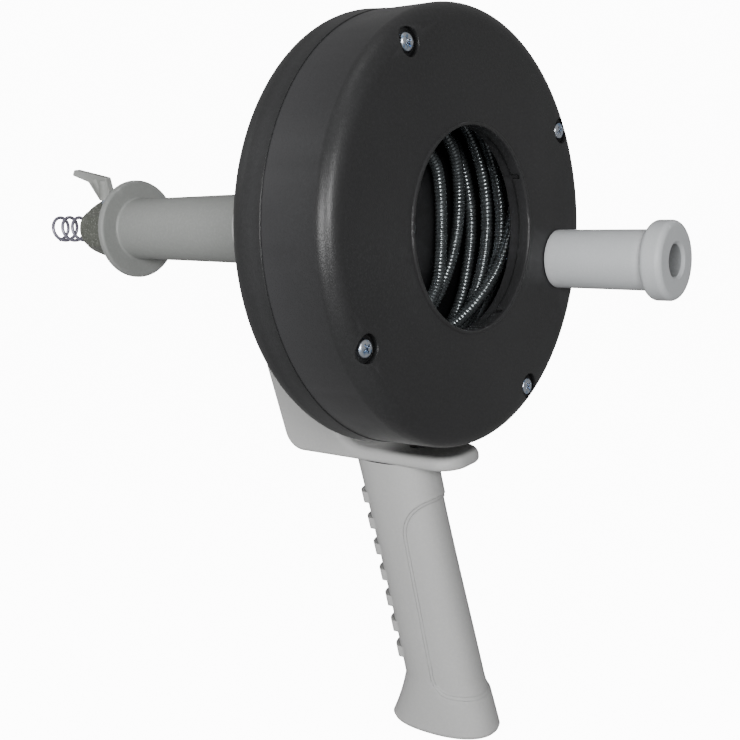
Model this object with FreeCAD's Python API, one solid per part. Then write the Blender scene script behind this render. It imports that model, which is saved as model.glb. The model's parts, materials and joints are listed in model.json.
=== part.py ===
"""Pistol-grip drain snake machine: a cranked drum of cable behind a fixed front sleeve and grip.

Frame: millimetres. The origin is the centre of the drum window, in the drum's rear face.
+X is the drum's spin axis, pointing back towards the crank knob. +Z is up. The cable leaves
along -X, and the grip hangs along -Z.
"""
import FreeCAD, Part
import math
import os

V = FreeCAD.Vector
X_AXIS = V(1, 0, 0)
Y_AXIS = V(0, 1, 0)
Z_AXIS = V(0, 0, 1)
FULL_TURN = 360.0
QUARTER_TURN = 90.0
OVERRUN = 1.0
FLAT = 0.001

# ---- drum -------------------------------------------------------------------------------
DRUM_R = 95.5
DRUM_FRONT_R = 96.5
DRUM_WIDTH = 55.0
REAR_SHELL_DEPTH = 35.0
WALL = 2.6
REAR_EDGE_ROUND = 8.0
FRONT_EDGE_ROUND = 10.6
SEAM_STEP = 0.3
SPIGOT_DEPTH = 4.0
SPIGOT_ROOT = 5.0
SPIGOT_WALL = 2.2
SPIGOT_FIT = 0.2
HUB_HOLE_FIT = 0.2
LOCATING_RING_R = 52.0
LOCATING_RING_WIDTH = 3.0
LOCATING_RING_PROUD = 1.2

WINDOW_R = 43.8
WINDOW_COLLAR_R = 46.8
WINDOW_COLLAR_DEPTH = 10.4
WINDOW_LIP = 0.9
WINDOW_BAND = 4.8
WINDOW_SLOT_WIDTH = 2.4
WINDOW_SLOT_DEPTH = 1.2
WINDOW_SLOT_REACH = 9.4

SCREW_CIRCLE_R = 86.7
FIRST_SCREW_ANGLE = 25.2
SCREW_COUNT = 4
SCREW_HEAD_R = 4.0
SCREW_HEAD_HEIGHT = 2.3
SCREW_HEAD_ROUND = 1.4
SCREW_SHANK_R = 2.0
SCREW_LENGTH = 19.0
SCREW_CUP_R = 6.0
SCREW_CUP_WALL = 1.9
SCREW_CUP_DEPTH = 3.0
SCREW_CUP_FLOOR = 3.2
SCREW_HOLE_FIT = 0.25
THREAD_FIT = 0.03
BOSS_R = 4.8
BOSS_GAP = 0.3
BOSS_HOLE_SPARE = 2.0
BOSS_WEB_LENGTH = 14.0
BOSS_WEB_HEIGHT = 5.5
BOSS_WEB_WIDTH = 2.0
DRIVE_ANGLE = 28.0
SCREW_DRIVE = (2.3, 0.9, 1.3)

# ---- crank knob -------------------------------------------------------------------------
KNOB_CIRCLE_R = 73.1
KNOB_ANGLE = -18.4
KNOB_TUBE_R = 13.85
KNOB_TUBE_END_R = 14.1
KNOB_TUBE_LENGTH = 50.0
KNOB_TUBE_FLOOR = 5.0
KNOB_CAP_R = 18.4
KNOB_CAP_LENGTH = 11.0
KNOB_CAP_ROUND = 2.8
KNOB_SPIGOT_LENGTH = 9.0
KNOB_SPIGOT_FIT = 0.02
KNOB_HOLE_R = 7.5
KNOB_HOLE_DEPTH = 16.0
KNOB_HOLE_FLARE = 1.3
KNOB_WALL = 2.8
KNOB_GAP = 0.4
KNOB_BOSS_R = 9.0
KNOB_BOSS_DEPTH = 8.0
AXLE_R = 4.0
AXLE_FRONT_X = -15.5
AXLE_HEAD_R = 6.4
AXLE_HEAD_HEIGHT = 4.0
AXLE_SOCKET_FLATS = 6.0
AXLE_SOCKET_FLOOR = 1.2
AXLE_WASHER_R = 7.0
AXLE_WASHER_THICKNESS = 1.2
AXLE_WASHER_PLAY = 0.1
AXLE_WASHER_FIT = 0.2
AXLE_NUT_FLATS = 13.0
AXLE_NUT_HEIGHT = 5.2
AXLE_NUT_FLANGE_R = 8.2
AXLE_NUT_FLANGE = 1.3
AXLE_NUT_PLAY = 0.1
RUNNING_FIT = 0.06

# ---- spindle, nose and bearings ---------------------------------------------------------
SPINDLE_R = 8.0
SPINDLE_BORE_R = 5.0
SPINDLE_MOUTH_R = 9.5
SPINDLE_MOUTH_DEPTH = 5.4
SPINDLE_LIP_R = 11.5
SPINDLE_LIP = 2.2
SPINDLE_PROUD = 0.8
FLANGE_PLATE_R = 24.0
FLANGE_PLATE_THICKNESS = 2.5
RIVET_CIRCLE_R = 18.4
RIVET_R = 2.2
RIVET_HEAD_R = 3.8
RIVET_HEAD_SLOPE = 0.6
RIVET_HEAD_HEIGHT = 1.4
RIVET_COUNT = 6
WASHER_THICKNESS = 1.6
WASHER_FIT = 0.15
REAR_WASHER_R = 15.0
REAR_WASHER_GAP = 0.2
FRONT_WASHER_R = 13.0
FRONT_WASHER_PLAY = 0.05
RUNNING_GAP = 0.35

SLEEVE_REAR_X = -57.6
SLEEVE_FRONT_X = -219.0
SLEEVE_REAR_R = 17.4
SLEEVE_FRONT_R = 15.9
SLEEVE_BORE_R = 11.5
SLEEVE_STRAIGHT = 68.0
GUARD_R = 25.8
GUARD_THICKNESS = 4.0
GUARD_ROUND = 1.4
GUARD_FILLET = 1.2
GUARD_LAP = 1.0
BUSH_LENGTH = 15.0
BUSH_RIM_R = 14.0
BUSH_RIM = 2.0
BUSH_FIT = 0.05

NOSE_FLATS = 27.0
NOSE_HEX_LENGTH = 23.0
NOSE_CONE_LENGTH = 4.5
NOSE_COLLAR_R = 10.5
NOSE_COLLAR_LENGTH = 4.0
NOSE_MOUTH_R = 8.4
NOSE_MOUTH_DEPTH = 9.0
NOSE_THREAD_OVERLAP = 14.0
NOSE_BORE_R = 4.2
NOSE_BEVEL = 1.6
NOSE_BEVEL_RISE = 0.7
NOSE_BACK_BEVEL = 2.2
NOSE_BACK_BEVEL_DROP = 1.4

# ---- cable clamp ------------------------------------------------------------------------
CLAMP_X = -239.5
CLAMP_SCREW_R = 3.0
CLAMP_THREAD_FIT = 0.05
CLAMP_PAD_THICKNESS = 2.4
CLAMP_PAD_GAP = 0.3
CLAMP_LEVER_LOW_Z = 15.9
CLAMP_LEVER_THICKNESS = 3.4
CLAMP_HUB_R = 3.9
CLAMP_HUB_TOP_R = 3.4
CLAMP_HUB_HEIGHT = 10.3
CLAMP_SCREW_SHORT = 2.0
# Lever side outline: reach from the clamp axis, height above its underside, corner fillet.
CLAMP_WEB = [
    (-4.2, 0.0, 0.0),
    (3.9, 0.0, 0.0),
    (4.6, 4.8, 2.0),
    (3.2, 11.9, 1.2),
    (-22.4, 16.9, 0.8),
    (-24.6, 13.9, 0.8),
    (-11.6, 9.9, 3.0),
]
# Thickened front edge of the web: lower end and upper end as reach, height and radius.
CLAMP_RIB_LOW = (-2.0, 0.4, 2.0)
CLAMP_RIB_HIGH = (-7.0, 10.6, 2.7)

# ---- cable ------------------------------------------------------------------------------
CABLE_R = 3.175
COIL_FRONT_X = -51.9
COIL_REAR_X = -19.5
COIL_OUTER_R = 81.4
COIL_INNER_R = 60.5
COIL_FRONT_INNER_R = 50.0
COIL_CHAMFER = 3.0
FEED_REAR_X = -70.0
FEED_GAP = 0.05
BULB_R = 7.0
BULB_REAR_X = -249.0
BULB_TIP_X = -284.8
BULB_ROOT_R = 5.4
BULB_BARREL_X = -258.0
BULB_TIP_BEVEL = (2.5, 1.2)
BULB_SKIN = 1.9
FERRULE_R = 3.9
FERRULE_LENGTH = 5.0
FERRULE_INSET = 1.0
# Route of the cable from the spindle out to the wound turns: X, radius, angle from +Y to +Z.
LEAD_STATIONS = [
    (FEED_REAR_X, 0, 0),
    (-53, 0, 0),
    (-41, 8, -112),
    (-35, 21, -108),
    (-33, 34, -97),
    (-33, 45, -80),
    (-34, 52, -62),
    (-32, 56, -43),
    (-28, 59, -26),
    (-24, 61, -10),
    (-22, 63, 6),
]
TAIL_START_R = 47.6
TAIL_END_R = 44.6
TAIL_START_ANGLE = 112.0
TAIL_SWEEP = 50.0
TAIL_GAP = 0.2
CLIP_ANGLE_INSET = 6.0
CLIP_WALL = 1.4
CLIP_WIDTH = 9.0
CLIP_FOOT = 10.0
CLIP_FOOT_LAP = 1.0
CLIP_SADDLE_FIT = 0.4
CLIP_SCREW_R = 1.6
CLIP_SCREW_FIT = 0.1
CLIP_SCREW_HEAD_R = 3.2
CLIP_SCREW_HEAD_TOP_R = 2.4
CLIP_SCREW_HEAD = 1.8
CLIP_SCREW_DRIVE = (1.6, 0.7, 1.0)

# ---- bracket and grip -------------------------------------------------------------------
BRACKET_HALF_WIDTH = 15.0
TRAY_REAR_X = -10.4
TRAY_TOP_Z = -101.2
TRAY_BOTTOM_Z = -108.0
TRAY_CORNER_R = 12.0
TRAY_TOP_ROUND = 4.0
TRAY_UNDER_ROUND = 1.8
ARM_REAR_X = -80.0
ARM_FRONT_X = -124.6
ARM_FRONT_TURN_Z = -39.4
ARM_TOE_X = -108.0
ARM_TOE_Z = -106.5
ARM_TOE_ROUND = 11.0
ARM_TURN_ROUND = 6.0
ARM_HEEL_ROUND = 20.0
ARM_FRONT_LIMIT_X = -140.0
COLLAR_R = 22.0
COLLAR_BORE_FIT = 0.05
ARM_WALL = 4.0
ARM_SIDE_WALL = 3.2
ARM_POCKET_ROUND = 2.0
ARM_POCKET_TOP_Z = -26.0
ARM_POCKET_RIB_Z = (-60.0, -63.0)
ARM_POCKET_BASE_Z = -88.0
ARM_POCKET_SLANT = (5.2, 6.0, 1.6)
SET_SCREW_R = 2.5
SET_SCREW_X = -102.0
SET_SCREW_GAP = 0.1
SET_SCREW_SUNK = 0.9
SET_SCREW_SOCKET_R = 1.3
SET_SCREW_SOCKET = 1.6

GRIP_TOP_Z = -108.2
GRIP_SEAT_FIT = 0.2
GRIP_BASE_Z = -240.0
# Sections down the grip: Z, centre X, half length along X, half width along Y.
GRIP_STATIONS = [
    (-108.2, -52.6, 20.6, 14.2),
    (-145.0, -46.0, 19.9, 14.3),
    (-180.0, -39.5, 20.1, 14.4),
    (-214.0, -33.5, 20.6, 14.7),
]
BUTT_STATIONS = [
    (-214.0, -33.5, 20.6, 14.7),
    (-226.0, -34.1, 24.4, 15.3),
    (-237.6, -35.6, 28.7, 16.0),
]
BUTT_EDGE = 2.4
BUTT_EDGE_SHOULDER = 0.3
GRIP_SQUARENESS = 2.3
GRIP_WALL = 3.2
GRIP_CAVITY_TOP = 8.0
GRIP_CAVITY_FLOOR = 4.0
GRIP_SECTION_POINTS = 36
FINGER_RIB_COUNT = 7
FINGER_RIB_FIRST_Z = -126.6
FINGER_RIB_PITCH = 12.65
FINGER_RIB_HEIGHT = 5.4
FINGER_RIB_PROUD = 1.9
FINGER_RIB_HALF_WIDTH = 11.5
FINGER_RIB_REACH = (-38.0, -8.0)
GRIP_RAKE = 0.178
PALM_RECESS = 1.0
PALM_STEP = 0.5
PALM_REAR_X = 10.0
# Side outline of the palm panel: X, Z, corner fillet.
PALM_OUTLINE = [
    (PALM_REAR_X, -224.2, 0.0),
    (PALM_REAR_X, -131.0, 0.0),
    (-45.2, -119.8, 17.0),
    (-31.0, -218.4, 11.0),
]
PALM_INNER_OUTLINE = [
    (PALM_REAR_X, -222.9, 0.0),
    (PALM_REAR_X, -132.4, 0.0),
    (-43.8, -121.4, 15.8),
    (-29.9, -217.0, 9.8),
]
GRIP_SCREW_XS = (-67.0, -38.5)
GRIP_SCREW_R = 2.5
GRIP_SCREW_FIT = 0.2
GRIP_SCREW_HEAD_R = 4.8
GRIP_SCREW_HEAD_TOP_R = 3.6
GRIP_SCREW_HEAD_FIT = 0.3
GRIP_SCREW_HEAD = 2.6
GRIP_SCREW_SUNK = 1.6
GRIP_SCREW_LENGTH = 22.0
GRIP_SCREW_DRIVE = (2.5, 1.0, 1.3)
GRIP_BOSS_R = 5.2
GRIP_BOSS_EXTRA = 3.0


# ---- small geometry helpers ---------------------------------------------------------------
def polar(radius, degrees, x=0.0):
    """A point at an angle round the spin axis, measured from +Y towards +Z."""
    angle = math.radians(degrees)
    return V(x, radius * math.cos(angle), radius * math.sin(angle))


def rod(radius, x_low, x_high, y=0.0, z=0.0):
    """A solid cylinder along X."""
    return Part.makeCylinder(radius, x_high - x_low, V(x_low, y, z), X_AXIS)


def pipe(outer, inner, x_low, x_high, y=0.0, z=0.0):
    """A tube along X."""
    return rod(outer, x_low, x_high, y, z).cut(rod(inner, x_low - OVERRUN, x_high + OVERRUN, y, z))


def post(radius, low, high, x=0.0, y=0.0):
    """A solid cylinder along Z."""
    return Part.makeCylinder(radius, high - low, V(x, y, low), Z_AXIS)


def cone(x_low, r_low, x_high, r_high, y=0.0, z=0.0):
    """A truncated cone along X."""
    return Part.makeCone(r_low, r_high, x_high - x_low, V(x_low, y, z), X_AXIS)


def spun(face):
    """The solid swept by a face turned fully round the X axis, with its skin facing out."""
    solid = face.revolve(V(0, 0, 0), X_AXIS, FULL_TURN)
    if solid.Volume < 0:
        solid.reverse()
    return solid


def turned(points):
    """The solid swept by a closed (x, radius) outline turned round the X axis."""
    corners = [V(x, 0, radius) for x, radius in points]
    return spun(Part.Face(Part.makePolygon(corners + corners[:1])))


def arc_profile(edges):
    """A revolved solid from a list of edges in the XZ half-plane."""
    return spun(Part.Face(Part.Wire(Part.__sortEdges__(edges))))


def line(a, b):
    return Part.LineSegment(V(a[0], 0, a[1]), V(b[0], 0, b[1])).toShape()


def arc(a, middle, b):
    return Part.Arc(V(a[0], 0, a[1]), V(middle[0], 0, middle[1]), V(b[0], 0, b[1])).toShape()


def corner_arc(centre, radius, start, end):
    """An arc edge in the XZ plane, with its end points, for a filleted outline."""
    def at(degrees):
        angle = math.radians(degrees)
        return (centre[0] + radius * math.cos(angle), centre[1] + radius * math.sin(angle))
    return at(start), arc(at(start), at((start + end) / 2), at(end)), at(end)


def filleted_outline(corners):
    """A closed XZ wire through (x, z, fillet radius) corners."""
    count = len(corners)
    starts, ends, arcs = [], [], []
    for k, (x, z, radius) in enumerate(corners):
        here = V(x, 0, z)
        before = V(corners[k - 1][0], 0, corners[k - 1][1]) - here
        after = V(corners[(k + 1) % count][0], 0, corners[(k + 1) % count][1]) - here
        before.normalize()
        after.normalize()
        if radius <= 0:
            starts.append(here)
            ends.append(here)
            arcs.append(None)
            continue
        half = before.getAngle(after) / 2
        reach = radius / math.tan(half)
        bisector = (before + after).normalize()
        middle = here + bisector * (radius / math.sin(half) - radius)
        starts.append(here + before * reach)
        ends.append(here + after * reach)
        arcs.append(Part.Arc(starts[-1], middle, ends[-1]).toShape())
    edges = []
    for k in range(count):
        if arcs[k] is not None:
            edges.append(arcs[k])
        edges.append(Part.LineSegment(ends[k], starts[(k + 1) % count]).toShape())
    return Part.Wire(edges)


def slab(corners, half_width):
    """An XZ outline with filleted corners, extruded evenly either side of Y = 0."""
    face = Part.Face(filleted_outline(corners))
    face.translate(V(0, -half_width, 0))
    return face.extrude(V(0, 2 * half_width, 0))


def hexagon(flats, x_low, x_high, y=0.0, z=0.0):
    """A hexagonal bar along X with two corners up and down."""
    corner = flats / math.sqrt(3)
    ring = [V(x_low, y + corner * math.sin(k * math.pi / 3), z + corner * math.cos(k * math.pi / 3))
            for k in range(6)]
    return Part.Face(Part.makePolygon(ring + ring[:1])).extrude(V(x_high - x_low, 0, 0))


def cross_slot(drive, face_x, y, z):
    """The cross-shaped recess of a screw head that faces +X, from (reach, width, depth)."""
    reach, width, depth = drive
    through = depth + OVERRUN
    flat = Part.makeBox(through, 2 * reach, width, V(face_x - depth, y - reach, z - width / 2))
    tall = Part.makeBox(through, width, 2 * reach, V(face_x - depth, y - width / 2, z - reach))
    cross = flat.fuse(tall)
    cross.rotate(V(face_x, y, z), X_AXIS, DRIVE_ANGLE)
    return cross


def screw_angles():
    return [FIRST_SCREW_ANGLE + FULL_TURN / SCREW_COUNT * k for k in range(SCREW_COUNT)]


def knob_centre():
    return polar(KNOB_CIRCLE_R, KNOB_ANGLE)


def rounded_path(points, share=0.45):
    """Straight runs joined by tangent arcs through hand-chosen points, as one wire, with its radii."""
    edges, radii, last = [], [], points[0]
    for k in range(1, len(points) - 1):
        here = points[k]
        back = points[k - 1] - here
        ahead = points[k + 1] - here
        turn = math.pi - back.getAngle(ahead)
        reach = share * min(back.Length, ahead.Length)
        radius = reach / math.tan(turn / 2)
        back.normalize()
        ahead.normalize()
        start = here + back * reach
        end = here + ahead * reach
        bisector = (back + ahead).normalize()
        middle = here + bisector * (radius / math.cos(turn / 2) - radius)
        edges.append(Part.LineSegment(last, start).toShape())
        edges.append(Part.Arc(start, middle, end).toShape())
        radii.append(radius)
        last = end
    edges.append(Part.LineSegment(last, points[-1]).toShape())
    return Part.Wire(edges), radii


def cable_along(points):
    """The cable's round outside swept along a route of straight runs and arcs."""
    path, radii = rounded_path(points)
    direction = points[1] - points[0]
    section = Part.Wire(Part.makeCircle(CABLE_R, points[0], direction))
    solid = path.makePipeShell([section], True, True)
    ideal = math.pi * CABLE_R ** 2 * path.Length
    print("cable length %.1f, tightest bend %.1f, volume ratio %.4f"
          % (path.Length, min(radii), solid.Volume / ideal))
    return solid


# ---- drum shells ------------------------------------------------------------------------
def rear_shell_body():
    """The deep rear half of the drum: rear face, window collar with its lip, and outer wall."""
    inner_r = DRUM_R - WALL
    corner = (-REAR_EDGE_ROUND, DRUM_R - REAR_EDGE_ROUND)
    lip_crest = (WINDOW_LIP, WINDOW_R + WINDOW_LIP)
    lip_foot = (0.0, WINDOW_R + 2 * WINDOW_LIP)
    deep_r = WINDOW_R + WINDOW_SLOT_DEPTH
    out_a, out_arc, out_b = corner_arc(corner, REAR_EDGE_ROUND, 0, QUARTER_TURN)
    in_a, in_arc, in_b = corner_arc(corner, REAR_EDGE_ROUND - WALL, QUARTER_TURN, 0)
    edges = [
        line((-WINDOW_BAND, WINDOW_R), (0, WINDOW_R)),
        arc((0, WINDOW_R), lip_crest, lip_foot),
        line(lip_foot, out_a),
        out_arc,
        line(out_b, (-REAR_SHELL_DEPTH, DRUM_R)),
        line((-REAR_SHELL_DEPTH, DRUM_R), (-REAR_SHELL_DEPTH, inner_r)),
        line((-REAR_SHELL_DEPTH, inner_r), in_a),
        in_arc,
        line(in_b, (-WALL, WINDOW_COLLAR_R)),
        line((-WALL, WINDOW_COLLAR_R), (-WINDOW_COLLAR_DEPTH, WINDOW_COLLAR_R)),
        line((-WINDOW_COLLAR_DEPTH, WINDOW_COLLAR_R), (-WINDOW_COLLAR_DEPTH, deep_r)),
        line((-WINDOW_COLLAR_DEPTH, deep_r), (-WINDOW_BAND, deep_r)),
        line((-WINDOW_BAND, deep_r), (-WINDOW_BAND, WINDOW_R)),
    ]
    return arc_profile(edges)


def rounded_drum(front_x, rear_x, radius, edge_round, keep_x):
    """A plain solid disc with one rounded edge, at the end that lies farther from keep_x."""
    disc = rod(radius, front_x, rear_x)
    edges = [e for e in disc.Edges
             if len(e.Vertexes) == 1 and abs(e.CenterOfMass.x - keep_x) > OVERRUN]
    return disc.makeFillet(edge_round, edges)


def window_slots():
    """Narrow axial slots across the collar's band, in line with the screws."""
    slots = []
    for angle in screw_angles():
        box = Part.makeBox(WINDOW_SLOT_REACH, 2 * WINDOW_SLOT_DEPTH, WINDOW_SLOT_WIDTH,
                           V(-WINDOW_COLLAR_DEPTH, WINDOW_R - WINDOW_SLOT_DEPTH,
                             -WINDOW_SLOT_WIDTH / 2))
        box.rotate(V(0, 0, 0), X_AXIS, angle)
        slots.append(box)
    return slots


def rear_shell():
    """The rear half with its screw cups, the knob's boss and the window slots."""
    shell = rear_shell_body()
    centre = knob_centre()
    inside_x = -WALL / 2
    extras = [rod(KNOB_BOSS_R, -KNOB_BOSS_DEPTH, inside_x, centre.y, centre.z)]
    holes = [rod(AXLE_R + RUNNING_FIT, -KNOB_BOSS_DEPTH - OVERRUN, OVERRUN, centre.y, centre.z)]
    cup_base = -SCREW_CUP_DEPTH - SCREW_CUP_FLOOR
    for angle in screw_angles():
        at = polar(SCREW_CIRCLE_R, angle)
        extras.append(rod(SCREW_CUP_R + SCREW_CUP_WALL, cup_base, inside_x, at.y, at.z))
        holes.append(rod(SCREW_CUP_R, -SCREW_CUP_DEPTH, OVERRUN, at.y, at.z))
        holes.append(rod(SCREW_SHANK_R + SCREW_HOLE_FIT, cup_base - OVERRUN, 0.0, at.y, at.z))
    outside = rounded_drum(-REAR_SHELL_DEPTH, 0.0, DRUM_R, REAR_EDGE_ROUND, -REAR_SHELL_DEPTH)
    shell = shell.fuse([extra.common(outside) for extra in extras]).removeSplitter()
    return shell.cut(holes + window_slots())


def front_shell_body():
    """The shallow front half: outer wall, rounded front edge, front wall and the seam spigot."""
    front_x = -DRUM_WIDTH
    seam_x = -REAR_SHELL_DEPTH
    root_x = seam_x - SPIGOT_ROOT
    tip_x = seam_x + SPIGOT_DEPTH
    outer_r = DRUM_R + SEAM_STEP
    corner = (front_x + FRONT_EDGE_ROUND, DRUM_FRONT_R - FRONT_EDGE_ROUND)
    out_a, out_arc, out_b = corner_arc(corner, FRONT_EDGE_ROUND, QUARTER_TURN, 2 * QUARTER_TURN)
    in_a, in_arc, in_b = corner_arc(corner, FRONT_EDGE_ROUND - WALL, 2 * QUARTER_TURN, QUARTER_TURN)
    spigot_r = DRUM_R - WALL - SPIGOT_FIT
    spigot_inner = spigot_r - SPIGOT_WALL
    hub_r = SPINDLE_R + HUB_HOLE_FIT
    edges = [
        line((seam_x, outer_r), out_a),
        out_arc,
        line(out_b, (front_x, hub_r)),
        line((front_x, hub_r), (front_x + WALL, hub_r)),
        line((front_x + WALL, hub_r), in_a),
        in_arc,
        line(in_b, (root_x, DRUM_R - WALL)),
        line((root_x, DRUM_R - WALL), (root_x, spigot_inner)),
        line((root_x, spigot_inner), (tip_x, spigot_inner)),
        line((tip_x, spigot_inner), (tip_x, spigot_r)),
        line((tip_x, spigot_r), (seam_x, spigot_r)),
        line((seam_x, spigot_r), (seam_x, outer_r)),
    ]
    return arc_profile(edges)


def boss_web(angle, wall_x):
    """The rib that ties one screw boss to the outer wall."""
    web = Part.makeBox(BOSS_WEB_LENGTH, BOSS_WEB_HEIGHT, BOSS_WEB_WIDTH,
                       V(wall_x, SCREW_CIRCLE_R, -BOSS_WEB_WIDTH / 2))
    web.rotate(V(0, 0, 0), X_AXIS, angle)
    return web


def front_shell():
    """The front half with its screw bosses, their webs, the locating ring and rivet holes."""
    shell = front_shell_body()
    wall_x = -DRUM_WIDTH + WALL / 2
    boss_top = -SCREW_CUP_DEPTH - SCREW_CUP_FLOOR - BOSS_GAP
    hole_base = -SCREW_CUP_DEPTH - SCREW_LENGTH - BOSS_HOLE_SPARE
    extras, holes = [], []
    for angle in screw_angles():
        at = polar(SCREW_CIRCLE_R, angle)
        extras.append(rod(BOSS_R, wall_x, boss_top, at.y, at.z))
        extras.append(boss_web(angle, wall_x))
        holes.append(rod(SCREW_SHANK_R + THREAD_FIT, hole_base, 0.0, at.y, at.z))
    outside = rounded_drum(-DRUM_WIDTH, 0.0, DRUM_R - WALL / 2, FRONT_EDGE_ROUND, 0.0)
    extras = [extra.common(outside) for extra in extras]
    extras.append(pipe(LOCATING_RING_R, LOCATING_RING_R - LOCATING_RING_WIDTH,
                       -DRUM_WIDTH - LOCATING_RING_PROUD, wall_x))
    for k in range(RIVET_COUNT):
        at = polar(RIVET_CIRCLE_R, FULL_TURN / RIVET_COUNT * k)
        holes.append(rod(RIVET_R, -DRUM_WIDTH - OVERRUN, wall_x + WALL, at.y, at.z))
    return shell.fuse(extras).cut(holes)


def drum_screws():
    """Four pan-head screws with cross recesses, seated in the rear shell's cups."""
    screws = []
    head_top = -SCREW_CUP_DEPTH + SCREW_HEAD_HEIGHT
    for angle in screw_angles():
        at = polar(SCREW_CIRCLE_R, angle)
        head = rod(SCREW_HEAD_R, -SCREW_CUP_DEPTH, head_top, at.y, at.z)
        rim = max((e for e in head.Edges if len(e.Vertexes) == 1), key=lambda e: e.CenterOfMass.x)
        head = head.makeFillet(SCREW_HEAD_ROUND, [rim])
        shank = rod(SCREW_SHANK_R, -SCREW_CUP_DEPTH - SCREW_LENGTH, -SCREW_CUP_DEPTH, at.y, at.z)
        screws.append(head.fuse(shank).cut(cross_slot(SCREW_DRIVE, head_top, at.y, at.z)))
    return Part.makeCompound(screws)


# ---- crank knob -------------------------------------------------------------------------
def knob_joint_x():
    """Where the knob's tube ends and its cap begins."""
    return KNOB_GAP + KNOB_TUBE_LENGTH


def knob_hole_floor_x():
    return knob_joint_x() + KNOB_CAP_LENGTH - KNOB_HOLE_DEPTH


def knob_sleeve():
    """The tube the hand turns: a closed inner wall against the drum, open at the cap end."""
    centre = knob_centre()
    y, z = centre.y, centre.z
    end = knob_joint_x()
    body = cone(KNOB_GAP, KNOB_TUBE_R, end, KNOB_TUBE_END_R, y, z)
    cavity = rod(KNOB_TUBE_R - KNOB_WALL, KNOB_GAP + KNOB_TUBE_FLOOR, end + OVERRUN, y, z)
    bore = rod(AXLE_R + RUNNING_FIT, -OVERRUN, end, y, z)
    return body.cut([cavity, bore])


def knob_cap():
    """The wide end cap: a rounded rim, a spigot inside the sleeve and a hole down to the axle."""
    centre = knob_centre()
    y, z = centre.y, centre.z
    low = knob_joint_x()
    high = low + KNOB_CAP_LENGTH
    spigot_low = low - KNOB_SPIGOT_LENGTH
    floor = knob_hole_floor_x()
    rim = rod(KNOB_CAP_R, low, high, y, z)
    rim = rim.makeFillet(KNOB_CAP_ROUND, [e for e in rim.Edges if len(e.Vertexes) == 1])
    spigot = rod(KNOB_TUBE_R - KNOB_WALL - KNOB_SPIGOT_FIT, spigot_low, low, y, z)
    hole = rod(KNOB_HOLE_R, floor, high + OVERRUN, y, z)
    mouth = cone(high - KNOB_HOLE_FLARE, KNOB_HOLE_R, high, KNOB_HOLE_R + KNOB_HOLE_FLARE, y, z)
    bore = rod(AXLE_R + RUNNING_FIT, spigot_low - OVERRUN, low, y, z)
    return rim.fuse(spigot).cut([hole, mouth, bore])


def axle_washer_span():
    """The low and high X of the washer between the bolt's head and the cap's hole floor."""
    low = knob_hole_floor_x() + AXLE_WASHER_PLAY
    return low, low + AXLE_WASHER_THICKNESS


def axle_bolt():
    """The shoulder bolt the knob turns on, through the drum's rear wall."""
    centre = knob_centre()
    y, z = centre.y, centre.z
    seat = axle_washer_span()[1] + AXLE_WASHER_PLAY
    top = seat + AXLE_HEAD_HEIGHT
    head = rod(AXLE_HEAD_R, seat, top, y, z)
    shank = rod(AXLE_R, AXLE_FRONT_X, seat, y, z)
    socket = hexagon(AXLE_SOCKET_FLATS, seat + AXLE_SOCKET_FLOOR, top + OVERRUN, y, z)
    return head.fuse(shank).cut(socket)


def axle_washer():
    centre = knob_centre()
    low, high = axle_washer_span()
    return pipe(AXLE_WASHER_R, AXLE_R + AXLE_WASHER_FIT, low, high, centre.y, centre.z)


def axle_nut():
    """The lock nut inside the drum, with its flange against the rear wall."""
    centre = knob_centre()
    y, z = centre.y, centre.z
    flange_high = -KNOB_BOSS_DEPTH - AXLE_NUT_PLAY
    flange_low = flange_high - AXLE_NUT_FLANGE
    low = flange_low - AXLE_NUT_HEIGHT
    nut = hexagon(AXLE_NUT_FLATS, low, flange_low, y, z)
    nut = nut.fuse(rod(AXLE_NUT_FLANGE_R, flange_low, flange_high, y, z))
    return nut.cut(rod(AXLE_R + THREAD_FIT, low - OVERRUN, flange_high + OVERRUN, y, z))


# ---- spindle ----------------------------------------------------------------------------
def nose_rear_x():
    return SLEEVE_FRONT_X - RUNNING_GAP - WASHER_THICKNESS


def nose_front_x():
    return nose_rear_x() - NOSE_HEX_LENGTH - NOSE_CONE_LENGTH - NOSE_COLLAR_LENGTH


def spindle_tube():
    """The steel tube that carries the drum and guides the cable, flared at its drum end."""
    neck = -DRUM_WIDTH + WALL + FLANGE_PLATE_THICKNESS
    rear = neck + SPINDLE_PROUD + SPINDLE_LIP
    front = nose_rear_x() - NOSE_THREAD_OVERLAP
    tube = rod(SPINDLE_R, front, rear)
    lip = rod(SPINDLE_LIP_R, neck, rear)
    mouth = cone(rear - SPINDLE_MOUTH_DEPTH, SPINDLE_BORE_R, rear, SPINDLE_MOUTH_R)
    return tube.fuse(lip).cut([mouth, rod(SPINDLE_BORE_R, front - OVERRUN, rear)])


def rivet_points():
    return [polar(RIVET_CIRCLE_R, FULL_TURN / RIVET_COUNT * k) for k in range(RIVET_COUNT)]


def spindle_plate():
    """The steel plate welded to the spindle and riveted to the drum's front wall."""
    low = -DRUM_WIDTH + WALL
    high = low + FLANGE_PLATE_THICKNESS
    plate = pipe(FLANGE_PLATE_R, SPINDLE_R + THREAD_FIT, low, high)
    return plate.cut([rod(RIVET_R, low - OVERRUN, high + OVERRUN, at.y, at.z)
                      for at in rivet_points()])


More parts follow.
